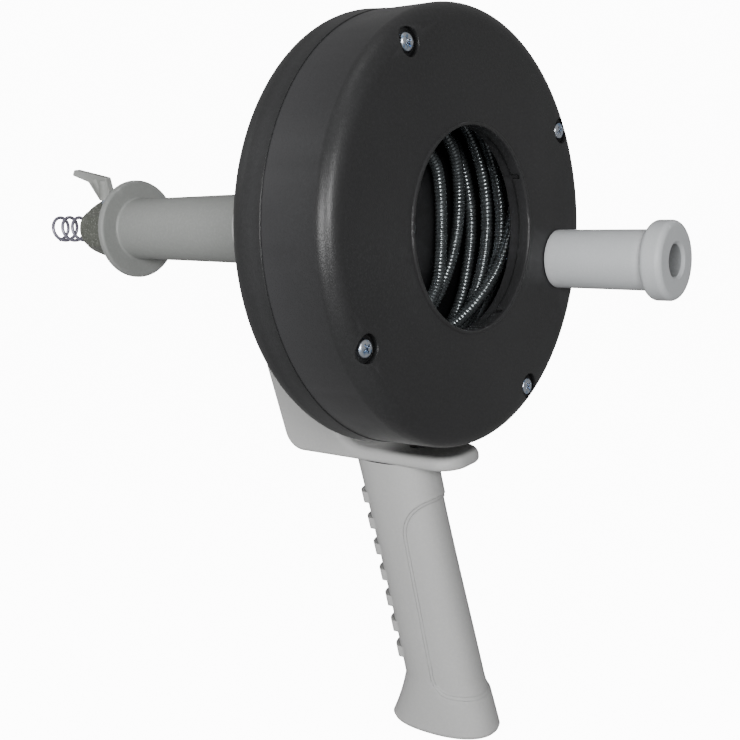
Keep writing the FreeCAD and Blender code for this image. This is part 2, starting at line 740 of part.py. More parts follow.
def plate_rivets():
    """Six domed rivets through the plate and the drum's front wall."""
    front = -DRUM_WIDTH
    inside = front + WALL + FLANGE_PLATE_THICKNESS
    small = RIVET_HEAD_R * RIVET_HEAD_SLOPE
    rivets = []
    for at in rivet_points():
        shank = rod(RIVET_R, front, inside, at.y, at.z)
        outer = cone(front - RIVET_HEAD_HEIGHT, small, front, RIVET_HEAD_R, at.y, at.z)
        inner = cone(inside, RIVET_HEAD_R, inside + RIVET_HEAD_HEIGHT, small, at.y, at.z)
        rivets.append(shank.fuse([outer, inner]))
    return Part.makeCompound(rivets)


def rear_washer():
    """The nylon thrust washer between the turning drum and the fixed sleeve."""
    high = -DRUM_WIDTH - REAR_WASHER_GAP
    return pipe(REAR_WASHER_R, SPINDLE_R + WASHER_FIT, high - WASHER_THICKNESS, high)


def front_washer():
    """The nylon thrust washer between the sleeve's front bush and the nose."""
    high = SLEEVE_FRONT_X - RUNNING_GAP
    low = high - WASHER_THICKNESS + FRONT_WASHER_PLAY
    return pipe(FRONT_WASHER_R, SPINDLE_R + WASHER_FIT, low, high)


def nose_outside(rear, cone_rear, collar_rear):
    """The hexagonal bar with both ends turned down."""
    corner_r = NOSE_FLATS / math.sqrt(3)
    big = corner_r + NOSE_BEVEL_RISE
    bevel_x = cone_rear + NOSE_BEVEL
    back_x = rear - NOSE_BACK_BEVEL
    front_bevel = cone(collar_rear, NOSE_COLLAR_R + NOSE_BEVEL_RISE, bevel_x, big)
    middle = rod(big, bevel_x, back_x)
    back_bevel = cone(back_x, big, rear, corner_r - NOSE_BACK_BEVEL_DROP)
    bar = hexagon(NOSE_FLATS, collar_rear, rear)
    return bar.common(front_bevel.fuse([middle, back_bevel]))


def nose_nut():
    """The hexagonal nose: threaded onto the spindle, tapered to a round collar at the mouth."""
    rear = nose_rear_x()
    cone_rear = rear - NOSE_HEX_LENGTH
    collar_rear = cone_rear - NOSE_CONE_LENGTH
    front = nose_front_x()
    body = nose_outside(rear, cone_rear, collar_rear)
    body = body.fuse(rod(NOSE_COLLAR_R, front, collar_rear)).removeSplitter()
    thread = rod(SPINDLE_R + THREAD_FIT, rear - NOSE_THREAD_OVERLAP, rear + OVERRUN)
    bore = rod(NOSE_BORE_R, front - OVERRUN, rear)
    mouth = cone(front, NOSE_MOUTH_R, front + NOSE_MOUTH_DEPTH, NOSE_BORE_R)
    clamp_hole = post(CLAMP_SCREW_R + CLAMP_THREAD_FIT, 0, NOSE_FLATS, CLAMP_X)
    return body.cut([thread, bore, mouth, clamp_hole])


# ---- cable clamp ------------------------------------------------------------------------
def clamp_pad():
    """The brass pad that the screw presses onto the cable."""
    low = CABLE_R + CLAMP_PAD_GAP
    return post(CLAMP_SCREW_R, low, low + CLAMP_PAD_THICKNESS, CLAMP_X)


def clamp_screw_top():
    return CLAMP_LEVER_LOW_Z + CLAMP_HUB_HEIGHT - CLAMP_SCREW_SHORT


def clamp_screw():
    """The headless screw moulded into the lever's hub."""
    low = CABLE_R + CLAMP_PAD_GAP + CLAMP_PAD_THICKNESS + CLAMP_THREAD_FIT
    return post(CLAMP_SCREW_R, low, clamp_screw_top(), CLAMP_X)


def clamp_rib():
    """The thickened, rounded front edge of the lever's web."""
    low_reach, low_height, low_r = CLAMP_RIB_LOW
    high_reach, high_height, high_r = CLAMP_RIB_HIGH
    low = V(CLAMP_X + low_reach, 0, CLAMP_LEVER_LOW_Z + low_height)
    high = V(CLAMP_X + high_reach, 0, CLAMP_LEVER_LOW_Z + high_height)
    run = high - low
    rib = Part.makeCone(low_r, high_r, run.Length, low, run)
    room = Part.makeBox(4 * NOSE_FLATS, NOSE_FLATS, NOSE_FLATS,
                        V(CLAMP_X - 2 * NOSE_FLATS, -NOSE_FLATS / 2, CLAMP_LEVER_LOW_Z))
    return rib.common(room)


def clamp_lever():
    """The moulded thumb lever: a round hub, a ribbed web and a flat tab reaching forward."""
    web = [(CLAMP_X + reach, CLAMP_LEVER_LOW_Z + height, fillet)
           for reach, height, fillet in CLAMP_WEB]
    plate = slab(web, CLAMP_LEVER_THICKNESS / 2)
    hub = Part.makeCone(CLAMP_HUB_R, CLAMP_HUB_TOP_R, CLAMP_HUB_HEIGHT,
                        V(CLAMP_X, 0, CLAMP_LEVER_LOW_Z), Z_AXIS)
    socket = post(CLAMP_SCREW_R, CLAMP_LEVER_LOW_Z - OVERRUN, clamp_screw_top(), CLAMP_X)
    return plate.fuse([hub, clamp_rib()]).cut(socket)


# ---- cable ------------------------------------------------------------------------------
def cable_coil():
    """The outer shape of the cable wound in the drum, its inner face sloping to the front."""
    outline = [
        (COIL_FRONT_X, COIL_FRONT_INNER_R),
        (COIL_FRONT_X, COIL_OUTER_R - COIL_CHAMFER),
        (COIL_FRONT_X + COIL_CHAMFER, COIL_OUTER_R),
        (COIL_REAR_X - COIL_CHAMFER, COIL_OUTER_R),
        (COIL_REAR_X, COIL_OUTER_R - COIL_CHAMFER),
        (COIL_REAR_X, COIL_INNER_R + COIL_CHAMFER),
        (COIL_REAR_X - COIL_CHAMFER, COIL_INNER_R),
    ]
    return turned(outline)


def cable_lead():
    """The cable's route from the spindle's flared mouth out to the wound turns."""
    return cable_along([polar(radius, angle, x) for x, radius, angle in LEAD_STATIONS])


def tail_x():
    return COIL_FRONT_X + CABLE_R + TAIL_GAP


def cable_tail():
    """The inner end of the cable, curving off the coil to its anchor clip."""
    x = tail_x()
    start = polar(TAIL_START_R, TAIL_START_ANGLE, x)
    middle = polar((TAIL_START_R + TAIL_END_R) / 2, TAIL_START_ANGLE + TAIL_SWEEP / 2, x)
    end = polar(TAIL_END_R, TAIL_START_ANGLE + TAIL_SWEEP, x)
    curve = Part.Arc(start, middle, end)
    along = curve.tangent(curve.FirstParameter)[0]
    section = Part.Wire(Part.makeCircle(CABLE_R, start, along))
    return Part.Wire([curve.toShape()]).makePipeShell([section], True, True)


def anchor_angle():
    return TAIL_START_ANGLE + TAIL_SWEEP - CLIP_ANGLE_INSET


def clip_edge_y():
    """The clip saddle's inner side, measured from the spin axis."""
    return TAIL_END_R - CABLE_R - CLIP_SADDLE_FIT - CLIP_WALL


def anchor_clip():
    """A folded steel saddle over the cable's end, with one screwed foot."""
    floor = -DRUM_WIDTH + WALL
    x = tail_x()
    half = CLIP_WIDTH / 2
    tunnel_r = CABLE_R + CLIP_SADDLE_FIT
    outer_r = tunnel_r + CLIP_WALL
    edge_y = clip_edge_y()
    foot_y = edge_y - CLIP_FOOT + CLIP_FOOT_LAP
    arch = post(outer_r, -half, half, x, TAIL_END_R)
    sides = Part.makeBox(x - floor, 2 * outer_r, CLIP_WIDTH, V(floor, edge_y, -half))
    foot = Part.makeBox(CLIP_WALL, CLIP_FOOT, CLIP_WIDTH, V(floor, foot_y, -half))
    tunnel = post(tunnel_r, -CLIP_WIDTH, CLIP_WIDTH, x, TAIL_END_R)
    open_side = Part.makeBox(x - floor, 2 * tunnel_r, 2 * CLIP_WIDTH,
                             V(floor, TAIL_END_R - tunnel_r, -CLIP_WIDTH))
    room = Part.makeBox(DRUM_WIDTH, 2 * DRUM_R, 2 * DRUM_R, V(floor, -DRUM_R, -DRUM_R))
    hole = rod(CLIP_SCREW_R + CLIP_SCREW_FIT, floor - OVERRUN, floor + CLIP_FOOT,
               edge_y - CLIP_FOOT / 2)
    clip = arch.fuse([sides, foot]).common(room).cut([tunnel, open_side, hole])
    clip.rotate(V(0, 0, 0), X_AXIS, anchor_angle())
    return clip


def anchor_screw():
    """The screw through the clip's foot, with its cross recess."""
    floor = -DRUM_WIDTH + WALL
    at = polar(clip_edge_y() - CLIP_FOOT / 2, anchor_angle())
    seat = floor + CLIP_WALL
    top = seat + CLIP_SCREW_HEAD
    head = cone(seat, CLIP_SCREW_HEAD_R, top, CLIP_SCREW_HEAD_TOP_R, at.y, at.z)
    shank = rod(CLIP_SCREW_R, floor, seat, at.y, at.z)
    return head.fuse(shank).cut(cross_slot(CLIP_SCREW_DRIVE, top, at.y, at.z))


def cable_feed():
    """The straight cable that slides through the spindle and out of the nose."""
    return rod(CABLE_R, BULB_REAR_X, FEED_REAR_X - FEED_GAP)


def bulb_ferrule():
    """The crimped sleeve that joins the bulb to the cable, inside the nose's mouth."""
    low = BULB_REAR_X + FERRULE_INSET
    return pipe(FERRULE_R, CABLE_R, low, low + FERRULE_LENGTH)


def bulb_head():
    """The outer shape of the open coil at the cable's end: a flared root and a round barrel."""
    root_x = BULB_REAR_X - FEED_GAP
    bevel_length, bevel_drop = BULB_TIP_BEVEL
    outline = [
        (root_x, 0.0),
        (root_x, BULB_ROOT_R),
        (BULB_BARREL_X, BULB_R),
        (BULB_TIP_X + bevel_length, BULB_R),
        (BULB_TIP_X, BULB_R - bevel_drop),
        (BULB_TIP_X, 0.0),
    ]
    hollow = rod(BULB_R - BULB_SKIN, BULB_TIP_X - OVERRUN, BULB_BARREL_X)
    return turned(outline).cut(hollow)


# ---- fixed sleeve and bushes ------------------------------------------------------------
def guard_skirt(guard_rear):
    """The small fillet ring between the sleeve's tube and the guard's rear face."""
    foot_r = SLEEVE_FRONT_R + GUARD_FILLET
    root_x = guard_rear - GUARD_LAP
    low, bend, high = corner_arc((guard_rear + GUARD_FILLET, foot_r), GUARD_FILLET,
                                 2 * QUARTER_TURN, 3 * QUARTER_TURN)
    return arc_profile([
        bend,
        line(high, (high[0], SLEEVE_BORE_R)),
        line((high[0], SLEEVE_BORE_R), (root_x, SLEEVE_BORE_R)),
        line((root_x, SLEEVE_BORE_R), (root_x, foot_r)),
        line((root_x, foot_r), low),
    ])


def front_sleeve():
    """The fixed hand sleeve: straight inside the bracket's collar, tapered to the hand guard."""
    straight_end = SLEEVE_REAR_X - SLEEVE_STRAIGHT
    guard_rear = SLEEVE_FRONT_X + GUARD_THICKNESS
    straight = rod(SLEEVE_REAR_R, straight_end, SLEEVE_REAR_X)
    taper = cone(guard_rear - GUARD_LAP, SLEEVE_FRONT_R, straight_end, SLEEVE_REAR_R)
    guard = rod(GUARD_R, SLEEVE_FRONT_X, guard_rear)
    guard = guard.makeFillet(GUARD_ROUND, [e for e in guard.Edges if len(e.Vertexes) == 1])
    bore = rod(SLEEVE_BORE_R, SLEEVE_FRONT_X - OVERRUN, SLEEVE_REAR_X + OVERRUN)
    seat_r = BUSH_RIM_R + BUSH_FIT
    rear_seat = rod(seat_r, SLEEVE_REAR_X - BUSH_RIM, SLEEVE_REAR_X + OVERRUN)
    front_seat = rod(seat_r, SLEEVE_FRONT_X - OVERRUN, SLEEVE_FRONT_X + BUSH_RIM)
    body = straight.fuse([taper, guard, guard_skirt(guard_rear)]).removeSplitter()
    return body.cut([bore, rear_seat, front_seat])


def bush(face_x, inward):
    """A flanged sintered bush pressed into one end of the sleeve; inward is +1 or -1 along X."""
    rim_end = face_x + inward * BUSH_RIM
    end = face_x + inward * BUSH_LENGTH
    low, high = min(face_x, end), max(face_x, end)
    rim = rod(BUSH_RIM_R, min(face_x, rim_end), max(face_x, rim_end))
    bore = rod(SPINDLE_R + RUNNING_FIT, low - OVERRUN, high + OVERRUN)
    return rim.fuse(rod(SLEEVE_BORE_R, low, high)).cut(bore)


# ---- bracket ----------------------------------------------------------------------------
def bracket_side():
    """The bracket's side outline: tray under the drum, deep arm up to the collar."""
    return [
        (TRAY_REAR_X, TRAY_BOTTOM_Z, 0),
        (TRAY_REAR_X, TRAY_TOP_Z, 0),
        (ARM_REAR_X, TRAY_TOP_Z, ARM_HEEL_ROUND),
        (ARM_REAR_X, 0.0, 0),
        (ARM_FRONT_X, 0.0, 0),
        (ARM_FRONT_X, ARM_FRONT_TURN_Z, ARM_TURN_ROUND),
        (ARM_TOE_X, ARM_TOE_Z, ARM_TOE_ROUND),
    ]


def bracket_plan():
    """The bracket seen from above, with the tray's two rear corners rounded."""
    w, r, x = BRACKET_HALF_WIDTH, TRAY_CORNER_R, TRAY_REAR_X
    front, low = ARM_FRONT_LIMIT_X, GRIP_BASE_Z
    s = r * math.sin(math.pi / 4)
    edges = [
        Part.LineSegment(V(front, -w, low), V(x - r, -w, low)).toShape(),
        Part.Arc(V(x - r, -w, low), V(x - r + s, -w + r - s, low), V(x, -w + r, low)).toShape(),
        Part.LineSegment(V(x, -w + r, low), V(x, w - r, low)).toShape(),
        Part.Arc(V(x, w - r, low), V(x - r + s, w - r + s, low), V(x - r, w, low)).toShape(),
        Part.LineSegment(V(x - r, w, low), V(front, w, low)).toShape(),
        Part.LineSegment(V(front, w, low), V(front, -w, low)).toShape(),
    ]
    return Part.Face(Part.Wire(edges)).extrude(V(0, 0, -2 * GRIP_BASE_Z))


def tray_edges(body, on_top):
    """The outer edges round the tray's top, or round its underside."""
    heel_x = ARM_REAR_X + ARM_HEEL_ROUND
    edges = []
    for edge in body.Edges:
        box = edge.BoundBox
        if on_top:
            level = box.ZMin > TRAY_TOP_Z - FLAT and box.ZMax < TRAY_TOP_Z + FLAT
        else:
            level = box.ZMax < ARM_TOE_Z
        if level and box.XMax > heel_x + FLAT:
            edges.append(edge)
    return edges


def arm_pocket():
    """The moulding's hollow, open towards the drum, in two cells either side of a rib."""
    open_x = ARM_REAR_X + OVERRUN
    front_x = ARM_FRONT_X + ARM_WALL
    rib_top, rib_base = ARM_POCKET_RIB_Z
    upper_slant, lower_slant, base_slant = ARM_POCKET_SLANT
    upper = [
        (open_x, rib_top, 0),
        (open_x, ARM_POCKET_TOP_Z, 0),
        (front_x, ARM_POCKET_TOP_Z, ARM_POCKET_ROUND),
        (front_x, ARM_FRONT_TURN_Z, ARM_POCKET_ROUND),
        (front_x + upper_slant, rib_top, ARM_POCKET_ROUND),
    ]
    lower = [
        (open_x, ARM_POCKET_BASE_Z, 0),
        (open_x, rib_base, 0),
        (front_x + lower_slant, rib_base, ARM_POCKET_ROUND),
        (ARM_TOE_X + base_slant, ARM_POCKET_BASE_Z, ARM_POCKET_ROUND),
    ]
    return [slab(outline, BRACKET_HALF_WIDTH - ARM_SIDE_WALL) for outline in (upper, lower)]


def grip_screw_seat_z():
    return TRAY_TOP_Z - GRIP_SCREW_HEAD - GRIP_SCREW_SUNK


def bracket():
    """The one-piece bracket: tray, arm, collar, grip screw holes and set screw holes."""
    body = slab(bracket_side(), BRACKET_HALF_WIDTH).common(bracket_plan())
    body = body.makeFillet(TRAY_UNDER_ROUND, tray_edges(body, on_top=False))
    body = body.makeFillet(TRAY_TOP_ROUND, tray_edges(body, on_top=True))
    body = body.fuse(rod(COLLAR_R, ARM_FRONT_X, ARM_REAR_X)).removeSplitter()
    cuts = [rod(SLEEVE_REAR_R + COLLAR_BORE_FIT, ARM_FRONT_X - OVERRUN, ARM_REAR_X + OVERRUN)]
    cuts += arm_pocket()
    for x in GRIP_SCREW_XS:
        cuts.append(post(GRIP_SCREW_R + GRIP_SCREW_FIT, TRAY_BOTTOM_Z - OVERRUN, TRAY_TOP_Z, x))
        cuts.append(post(GRIP_SCREW_HEAD_R + GRIP_SCREW_HEAD_FIT, grip_screw_seat_z(),
                         TRAY_TOP_Z + COLLAR_R, x))
    for side in (-1, 1):
        start = V(SET_SCREW_X, side * (SLEEVE_REAR_R - OVERRUN), 0)
        cuts.append(Part.makeCylinder(SET_SCREW_R, COLLAR_R, start, Y_AXIS * side))
    return body.cut(cuts)


def set_screws():
    """Two grub screws that lock the sleeve in the bracket's collar."""
    screws = []
    length = COLLAR_R - SLEEVE_REAR_R - SET_SCREW_SUNK
    for side in (-1, 1):
        outward = Y_AXIS * side
        start = V(SET_SCREW_X, side * (SLEEVE_REAR_R + SET_SCREW_GAP), 0)
        grub = Part.makeCylinder(SET_SCREW_R, length, start, outward)
        floor = start + outward * (length - SET_SCREW_SOCKET)
        socket = Part.makeCylinder(SET_SCREW_SOCKET_R, SET_SCREW_SOCKET + OVERRUN, floor, outward)
        screws.append(grub.cut(socket))
    return Part.makeCompound(screws)


def grip_screws():
    """Two pan-head screws down through the tray into the grip."""
    screws = []
    seat = grip_screw_seat_z()
    top = seat + GRIP_SCREW_HEAD
    reach, width, depth = GRIP_SCREW_DRIVE
    for x in GRIP_SCREW_XS:
        head = Part.makeCone(GRIP_SCREW_HEAD_R, GRIP_SCREW_HEAD_TOP_R, GRIP_SCREW_HEAD,
                             V(x, 0, seat), Z_AXIS)
        shank = post(GRIP_SCREW_R, seat - GRIP_SCREW_LENGTH, seat, x)
        slot_a = Part.makeBox(2 * reach, width, 2 * depth, V(x - reach, -width / 2, top - depth))
        slot_b = Part.makeBox(width, 2 * reach, 2 * depth, V(x - width / 2, -reach, top - depth))
        screws.append(head.fuse(shank).cut([slot_a, slot_b]))
    return Part.makeCompound(screws)


# ---- grip -------------------------------------------------------------------------------
def grip_section(z, centre_x, half_length, half_width):
    """One closed superellipse across the grip."""
    points = []
    for k in range(GRIP_SECTION_POINTS):
        t = 2 * math.pi * k / GRIP_SECTION_POINTS
        c, s = math.cos(t), math.sin(t)
        x = math.copysign(abs(c) ** (2 / GRIP_SQUARENESS), c) * half_length
        y = math.copysign(abs(s) ** (2 / GRIP_SQUARENESS), s) * half_width
        points.append(V(centre_x + x, y, z))
    curve = Part.BSplineCurve()
    curve.interpolate(points, PeriodicFlag=True)
    return Part.Wire(curve.toShape())


def grip_loft(grow):
    """The grip's outside, grown or shrunk evenly by a distance."""
    def sections(stations):
        return [grip_section(z, x, a + grow, b + grow) for z, x, a, b in stations]
    z, x, a, b = BUTT_STATIONS[-1]
    shoulder = BUTT_EDGE * BUTT_EDGE_SHOULDER
    edge = [
        (z, x, a, b),
        (z - BUTT_EDGE + shoulder, x, a - shoulder, b - shoulder),
        (GRIP_BASE_Z, x, a - BUTT_EDGE, b - BUTT_EDGE),
    ]
    handle = Part.makeLoft(sections(GRIP_STATIONS), True, False)
    butt = Part.makeLoft(sections(BUTT_STATIONS), True, False)
    base = Part.makeLoft(sections(edge), True, True)
    return handle.fuse([butt, base])


def finger_ribs():
    """Square-ended bars across the front of the grip."""
    proud = grip_loft(FINGER_RIB_PROUD)
    low, high = FINGER_RIB_REACH
    ribs = []
    for k in range(FINGER_RIB_COUNT):
        z = FINGER_RIB_FIRST_Z - k * FINGER_RIB_PITCH
        centre = GRIP_STATIONS[0][1] + (GRIP_TOP_Z - z) * GRIP_RAKE
        block = Part.makeBox(high - low, 2 * FINGER_RIB_HALF_WIDTH, FINGER_RIB_HEIGHT,
                             V(centre + low, -FINGER_RIB_HALF_WIDTH, z - FINGER_RIB_HEIGHT / 2))
        ribs.append(proud.common(block))
    return ribs


def grip_cavity():
    """The moulding's inside, closed at the top and at the butt."""
    height = GRIP_TOP_Z - GRIP_BASE_Z - GRIP_CAVITY_TOP - GRIP_CAVITY_FLOOR
    span = 2 * DRUM_R
    room = Part.makeBox(span, span, height,
                        V(-span, -span / 2, GRIP_BASE_Z + GRIP_CAVITY_FLOOR))
    return grip_loft(-GRIP_WALL).common(room)


def grip_head():
    """The grip's top, carried straight up to seat against the tray's sloped underside."""
    z, x, a, b = GRIP_STATIONS[0]
    head = Part.Face(grip_section(z, x, a, b)).extrude(Z_AXIS * (ARM_TOE_Z - z))
    under_tray = [
        (TRAY_REAR_X, TRAY_BOTTOM_Z - GRIP_SEAT_FIT, 0),
        (ARM_TOE_X, ARM_TOE_Z - GRIP_SEAT_FIT, 0),
        (ARM_TOE_X, GRIP_BASE_Z, 0),
        (TRAY_REAR_X, GRIP_BASE_Z, 0),
    ]
    return head.common(slab(under_tray, DRUM_R))


def grip():
    """The hollow grip: recessed palm panel, finger ribs and two screw bosses."""
    outside = grip_loft(0.0)
    border = outside.cut(grip_loft(-PALM_STEP)).common(slab(PALM_OUTLINE, DRUM_R))
    panel = outside.cut(grip_loft(-PALM_RECESS)).common(slab(PALM_INNER_OUTLINE, DRUM_R))
    body = outside.cut(border).cut(panel).cut(grip_cavity()).fuse([grip_head()] + finger_ribs())
    low = GRIP_TOP_Z - GRIP_SCREW_LENGTH - GRIP_BOSS_EXTRA
    bosses, holes = [], []
    for x in GRIP_SCREW_XS:
        bosses.append(post(GRIP_BOSS_R, low, GRIP_TOP_Z, x).common(outside))
        holes.append(post(GRIP_SCREW_R + THREAD_FIT, low + OVERRUN, GRIP_TOP_Z + OVERRUN, x))
    return body.fuse(bosses).cut(holes)


# ---- the whole machine --------------------------------------------------------------------
NODES = {
    "bracket": bracket,
    "grip": grip,
    "grip_screws": grip_screws,
    "front_sleeve": front_sleeve,
    "rear_bush": lambda: bush(SLEEVE_REAR_X, -1),
    "front_bush": lambda: bush(SLEEVE_FRONT_X, 1),
    "sleeve_set_screws": set_screws,
    "drum_rear_shell": rear_shell,
    "drum_front_shell": front_shell,
    "drum_screws": drum_screws,
    "spindle_tube": spindle_tube,
    "spindle_plate": spindle_plate,
    "plate_rivets": plate_rivets,
    "rear_thrust_washer": rear_washer,
    "front_thrust_washer": front_washer,
    "nose_nut": nose_nut,
    "cable_coil": cable_coil,
    "cable_lead": cable_lead,
    "cable_tail": cable_tail,
    "cable_anchor_clip": anchor_clip,
    "cable_anchor_screw": anchor_screw,
    "knob_axle_bolt": axle_bolt,
    "knob_axle_nut": axle_nut,
    "knob_axle_washer": axle_washer,
    "knob_sleeve": knob_sleeve,
    "knob_cap": knob_cap,
    "clamp_pad": clamp_pad,
    "clamp_screw": clamp_screw,
    "clamp_lever": clamp_lever,
    "cable_feed": cable_feed,
    "bulb_ferrule": bulb_ferrule,
    "bulb_head": bulb_head,
}


def main():
    os.makedirs("parts", exist_ok=True)
    for name, build in NODES.items():
        shape = build()
        shape.exportStep(os.path.join("parts", name + ".step"))
        print("%-22s solids %d valid %s volume %.0f"
              % (name, len(shape.Solids), shape.isValid(), shape.Volume))


main()
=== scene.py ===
"""The looks of the drain snake machine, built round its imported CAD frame.

Metres, in the row frame: X is the drum's spin axis towards the crank knob, Z is up, and the
cable leaves along -X. The hard parts are the frame's own nodes, left where they are. The cable and
the bulb are built here in millimetres and replace plainer nodes. Their stations and the camera
follow the photograph and aren't worked out from the frame.
"""

import json
import math

import bpy
import numpy as np
from mathutils import Euler, Matrix, Vector


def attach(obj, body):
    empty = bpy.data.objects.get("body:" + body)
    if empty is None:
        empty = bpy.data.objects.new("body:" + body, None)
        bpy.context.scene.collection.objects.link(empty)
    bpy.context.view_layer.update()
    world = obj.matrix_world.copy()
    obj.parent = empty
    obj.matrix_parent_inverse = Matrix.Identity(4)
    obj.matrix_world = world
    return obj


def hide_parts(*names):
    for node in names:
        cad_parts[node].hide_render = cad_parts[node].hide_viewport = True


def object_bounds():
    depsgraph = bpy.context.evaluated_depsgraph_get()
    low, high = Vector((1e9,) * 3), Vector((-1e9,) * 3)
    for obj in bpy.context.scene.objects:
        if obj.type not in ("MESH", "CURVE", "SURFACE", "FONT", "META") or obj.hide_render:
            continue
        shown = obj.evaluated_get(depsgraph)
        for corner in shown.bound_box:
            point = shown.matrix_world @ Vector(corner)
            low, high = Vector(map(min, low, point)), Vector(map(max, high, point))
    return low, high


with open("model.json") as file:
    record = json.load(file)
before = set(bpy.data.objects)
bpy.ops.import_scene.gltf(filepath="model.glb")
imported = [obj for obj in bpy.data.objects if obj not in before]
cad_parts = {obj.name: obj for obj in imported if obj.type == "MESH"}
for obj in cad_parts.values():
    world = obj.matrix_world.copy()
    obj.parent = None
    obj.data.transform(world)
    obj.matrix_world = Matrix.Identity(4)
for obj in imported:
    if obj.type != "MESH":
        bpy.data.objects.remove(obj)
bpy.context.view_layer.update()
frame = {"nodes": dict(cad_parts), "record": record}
nodes = frame["nodes"]
MM = 0.001


# ---- camera, floor and light -----------------------------------------------------------------
CAMERA_SPOT = Vector((0.2934, -0.4337, 0.0533))
CAMERA_AZIMUTH = 36.79
CAMERA_ELEVATION = 11.41
CAMERA_ROLL = -4.28
CAMERA_LENS = 59.1
CAMERA_SHIFT = (-0.0762, -0.0252)
CAMERA_SENSOR_WIDTH = 36.0
CAMERA_CLIP_START = 0.01
FLOOR_GAP = 0.0005
FLOOR_RADIUS = 1.7
COVE_RADIUS = 0.9
COVE_STEPS = 12
WALL_TOP = 2.4
FLOOR_SECTORS = 96
STUDIO_PAINT = (0.85, 0.85, 0.85, 1.0)
STUDIO_ROUGHNESS = 0.9
STUDIO_GLOW = 12.0
PURE_WHITE = (1.0, 1.0, 1.0, 1.0)
WORLD_GLOW = 0.32
LIGHT_TARGET = (-0.05, 0.0, -0.03)
# Round softboxes: name, place, diameter and power.
SOFTBOXES = [
    ("key_softbox", (0.13, -1.30, 0.20), 0.45, 14.0),
    ("rim_softbox", (0.87, -0.90, 0.30), 0.36, 13.5),
    ("side_softbox", (-1.0, -0.6, 0.6), 0.7, 0.8),
    ("top_softbox", (0.1, -0.3, 1.3), 0.7, 1.6),
]


def add_camera():
    data = bpy.data.cameras.new("camera")
    data.lens = CAMERA_LENS
    data.sensor_width = CAMERA_SENSOR_WIDTH
    data.shift_x, data.shift_y = CAMERA_SHIFT
    data.clip_start = CAMERA_CLIP_START
    camera = bpy.data.objects.new("camera", data)
    bpy.context.scene.collection.objects.link(camera)
    look = Euler((math.radians(90.0 - CAMERA_ELEVATION), 0.0, math.radians(CAMERA_AZIMUTH)))
    roll = Matrix.Rotation(math.radians(CAMERA_ROLL), 4, "Z")
    camera.matrix_world = Matrix.Translation(CAMERA_SPOT) @ look.to_matrix().to_4x4() @ roll
    bpy.context.scene.camera = camera


def studio_outline():
    """The floor's height, then radius and height of the sweep: flat floor, cove, upright wall."""
    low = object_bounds()[0][2] - FLOOR_GAP
    cove = [math.radians(90.0 * k / COVE_STEPS) for k in range(COVE_STEPS + 1)]
    outline = [(FLOOR_RADIUS * k / COVE_STEPS, low) for k in range(1, COVE_STEPS)]
    outline += [(FLOOR_RADIUS + COVE_RADIUS * math.sin(a), low + COVE_RADIUS * (1 - math.cos(a)))
                for a in cove]
    outline.append((FLOOR_RADIUS + COVE_RADIUS, WALL_TOP))
    return low, outline


def studio_white():
    material = bpy.data.materials.new("studio_white")
    material.use_nodes = True
    shader = material.node_tree.nodes["Principled BSDF"]
    shader.inputs["Base Color"].default_value = STUDIO_PAINT
    shader.inputs["Roughness"].default_value = STUDIO_ROUGHNESS
    shader.inputs["Emission Color"].default_value = PURE_WHITE
    shader.inputs["Emission Strength"].default_value = STUDIO_GLOW
    return material


def add_floor():
    """A round white sweep, so that every view has the same pale ground behind it.

    Only the camera sees its glow: the object is lit by the world and the softboxes.
    """
    low, outline = studio_outline()
    rows, around = len(outline), FLOOR_SECTORS
    points = [(0.0, 0.0, low)]
    for radius, height in outline:
        for k in range(around):
            angle = 2 * math.pi * k / around
            points.append((radius * math.cos(angle), radius * math.sin(angle), height))
    faces = [(0, 1 + k, 1 + (k + 1) % around) for k in range(around)]
    for row in range(rows - 1):
        base = 1 + row * around
        for k in range(around):
            after = (k + 1) % around
            faces.append((base + k, base + around + k, base + around + after, base + after))
    mesh = bpy.data.meshes.new("studio_floor")
    mesh.from_pydata(points, [], faces)
    mesh.polygons.foreach_set("use_smooth", [True] * len(faces))
    mesh.materials.append(studio_white())
    floor = bpy.data.objects.new("studio_floor", mesh)
    bpy.context.scene.collection.objects.link(floor)
    floor.visible_diffuse = False
    floor.visible_glossy = False
    floor.visible_shadow = False


def add_softbox(name, spot, size, power):
    data = bpy.data.lights.new(name, "AREA")
    data.shape = "DISK"
    data.size = size
    data.energy = power
    light = bpy.data.objects.new(name, data)
    light.location = spot
    aim = Vector(LIGHT_TARGET) - Vector(spot)
    light.rotation_euler = aim.to_track_quat("-Z", "Y").to_euler()
    bpy.context.scene.collection.objects.link(light)


def add_lights():
    for softbox in SOFTBOXES:
        add_softbox(*softbox)
    world = bpy.data.worlds.new("studio_world")
    world.use_nodes = True
    background = world.node_tree.nodes["Background"]
    background.inputs["Color"].default_value = PURE_WHITE
    background.inputs["Strength"].default_value = WORLD_GLOW
    bpy.context.scene.world = world


# ---- materials -------------------------------------------------------------------------------
# Clouds, gloss and waves are noise scales, in cycles a metre. A range is the stretch of noise,
# closeness or sharpness over which one look fades into the next. A gloss spread is how far the
# roughness falls and rises round its middle.
BEVEL_SAMPLES = 6
# Samples for the painted shade in hollows.
HOLLOW_SHADE_SAMPLES = 8
CLOUD_DETAIL = 3.0
GLOSS_DETAIL = 4.0
GRAIN_DETAIL = 3.0
GRAIN_ROUGHNESS = 0.6
GLOSS_RANGE = (0.3, 0.7)
PLASTIC_CLOUDS = 14.0
PLASTIC_CLOUD_RANGE = (0.35, 0.65)
PLASTIC_SPECKLE_SHARE = 0.45
PLASTIC_SPECKLE_RANGE = (0.42, 0.72)
PLASTIC_SPECKLE_MOST = 0.22
PLASTIC_GLOSS = 45.0
PLASTIC_GLOSS_SPREAD = (0.05, 0.06)
PLASTIC_GRAIN_STRENGTH = 0.35
PLASTIC_WAVES = 30.0
PLASTIC_WAVE_STRENGTH = 0.08
